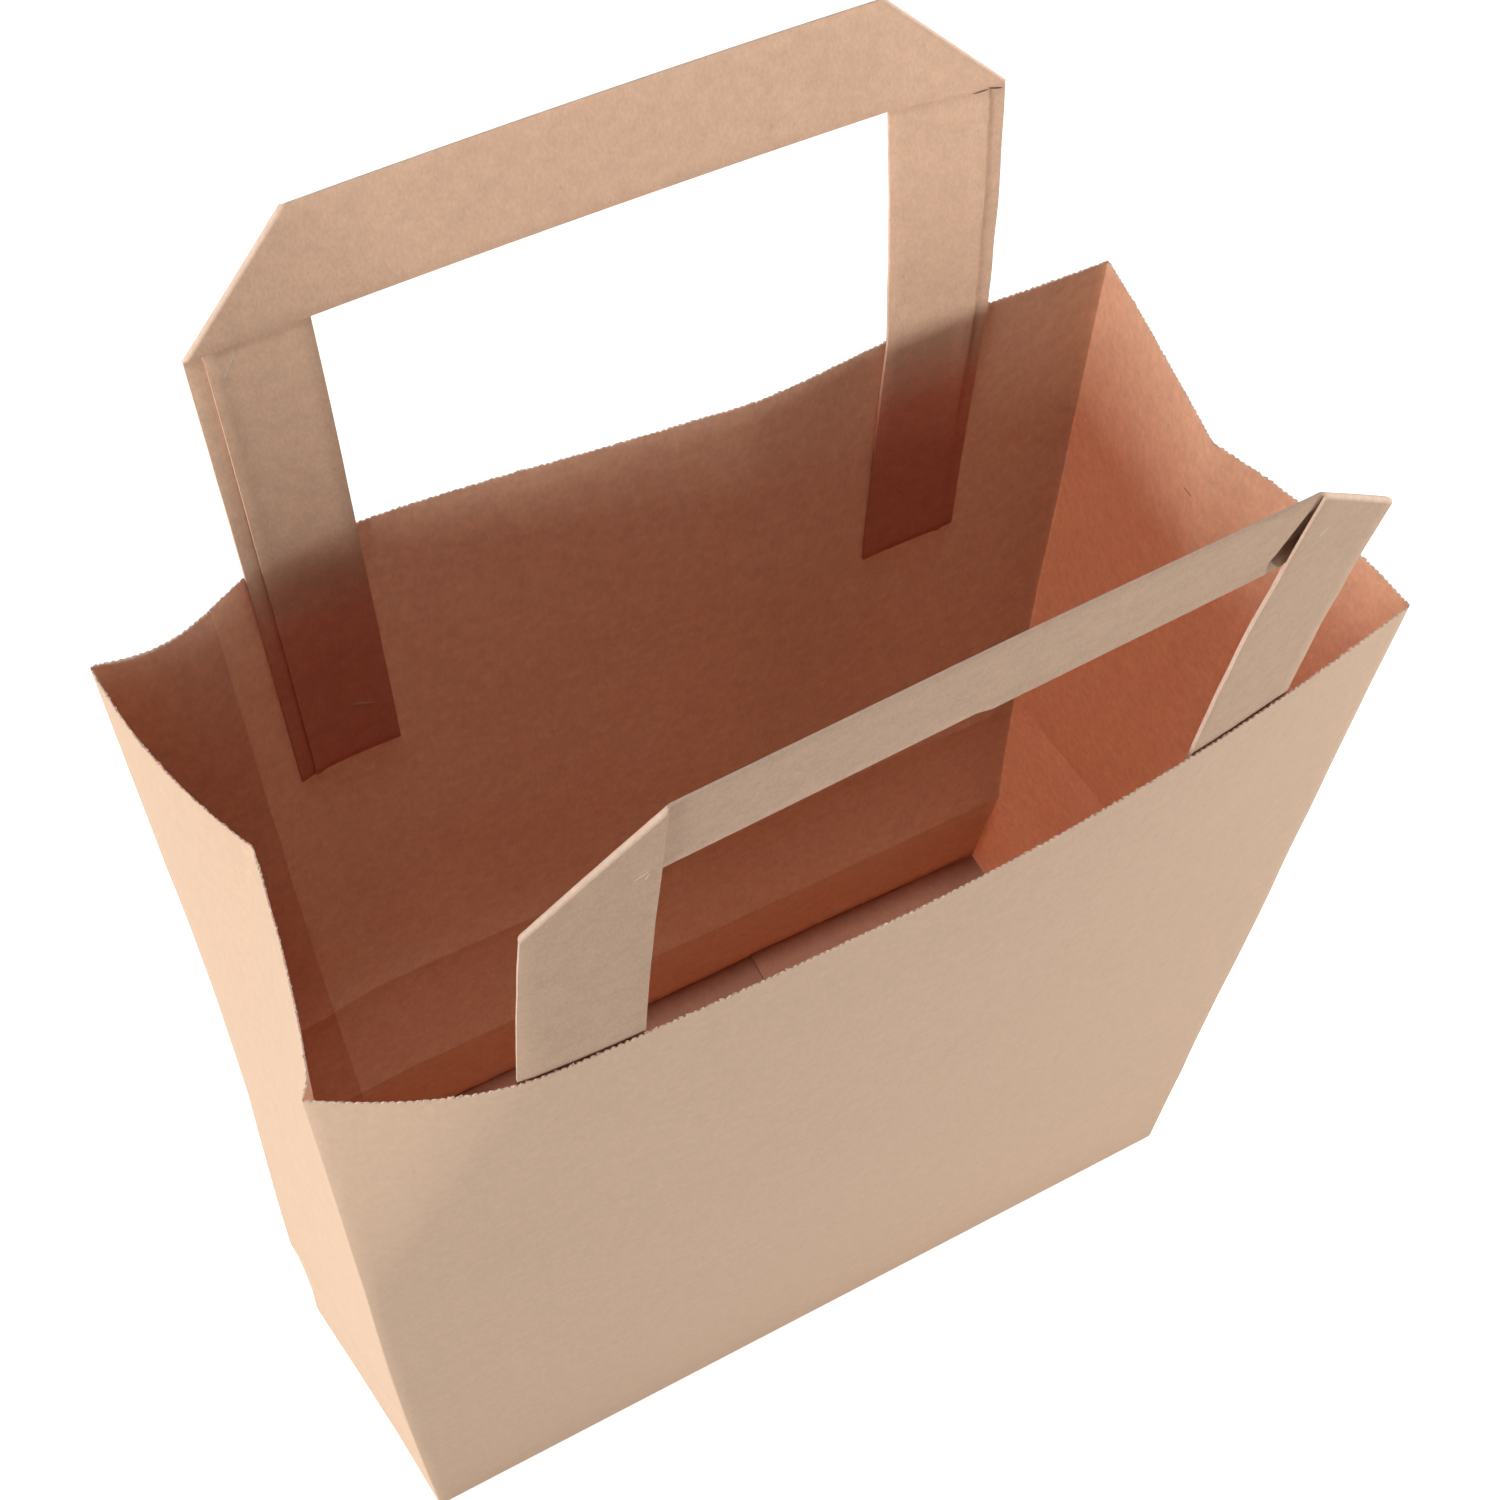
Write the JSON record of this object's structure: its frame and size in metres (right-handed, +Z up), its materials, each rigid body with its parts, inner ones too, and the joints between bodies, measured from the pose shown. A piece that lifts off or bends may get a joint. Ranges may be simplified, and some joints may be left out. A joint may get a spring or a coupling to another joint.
{
  "type": "paper carrier bag",
  "caption": "Open brown paper carrier bag with side gussets, a folded block bottom and flat folded paper strip handles glued inside the rim, for carrying small shopping or food.",
  "frame": {"origin": "on the underside, at the middle of the rectangular base", "axes": "+Z up through the open mouth, +Y to the back wall, -Y to the front wall, X along the width"},
  "size_m": [0.2346, 0.1335, 0.3646],
  "materials": {
    "bag_sheet": "uncoated brown paper, matt, with fine mottling",
    "handle_strip": "uncoated brown paper strip, matt, a shade greyer than the bag"
  },
  "bodies": {
    "root": {"bag_body": "bag_sheet", "front_handle": "handle_strip", "rear_handle": "handle_strip"}
  },
  "joints": []
}
